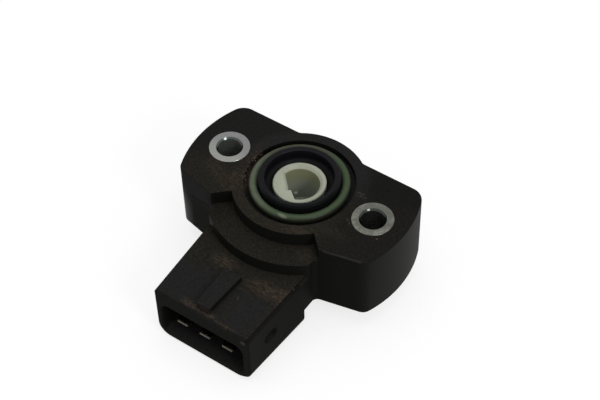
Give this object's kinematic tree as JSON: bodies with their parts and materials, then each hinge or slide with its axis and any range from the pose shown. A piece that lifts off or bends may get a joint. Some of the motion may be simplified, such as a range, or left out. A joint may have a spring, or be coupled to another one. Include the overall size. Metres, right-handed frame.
{
  "type": "throttle position sensor",
  "caption": "Rotary throttle position sensor: moulded body with bushed mounting ears, a face seal round a keyed rotor socket, and a hooded tab connector with a key rib.",
  "frame": {"origin": "On the rotor's axis, at the plane of the mounting face, midway between the two screw holes", "axes": "+Z leaves the mounting face, +X runs along the two ears, and the connector's mouth faces -Y"},
  "size_m": [0.0454, 0.0438, 0.0205],
  "materials": {
    "housing_plastic": "satin moulded charcoal, dusty round the boss and on the hood",
    "cover_plastic": "satin moulded",
    "rotor_plastic": "smooth moulded cream",
    "bush_steel": "turned, zinc plated",
    "ring_rubber": "smooth sage green",
    "seal_rubber": "matte black",
    "terminal_metal": "tin plated",
    "spring_steel": "plain",
    "contact_metal": "plain sheet",
    "plate_ceramic": "smooth white",
    "track_carbon": "printed carbon film",
    "track_silver": "printed conductor"
  },
  "bodies": {
    "housing": {"housing": "housing_plastic", "back_cover": "cover_plastic", "cover_seal": "seal_rubber", "bush_left": "bush_steel", "bush_right": "bush_steel", "o_ring": "ring_rubber", "shaft_seal": "seal_rubber", "spring_washer": "spring_steel", "resistor_plate": "plate_ceramic", "resistor_track": "track_carbon", "collector_track": "track_silver", "contact_pads": "track_silver", "terminal_1": "terminal_metal", "contact_clip_1": "contact_metal", "terminal_2": "terminal_metal", "contact_clip_2": "contact_metal", "terminal_3": "terminal_metal", "contact_clip_3": "contact_metal"},
    "rotor": {"rotor": "rotor_plastic", "wiper": "contact_metal"}
  },
  "joints": [
    {"name": "rotor_turn", "type": "hinge", "parent": "housing", "child": "rotor", "pos_m": [0, 0, 0], "axis": [0, 0, 1], "range_deg": [0, 95]}
  ]
}
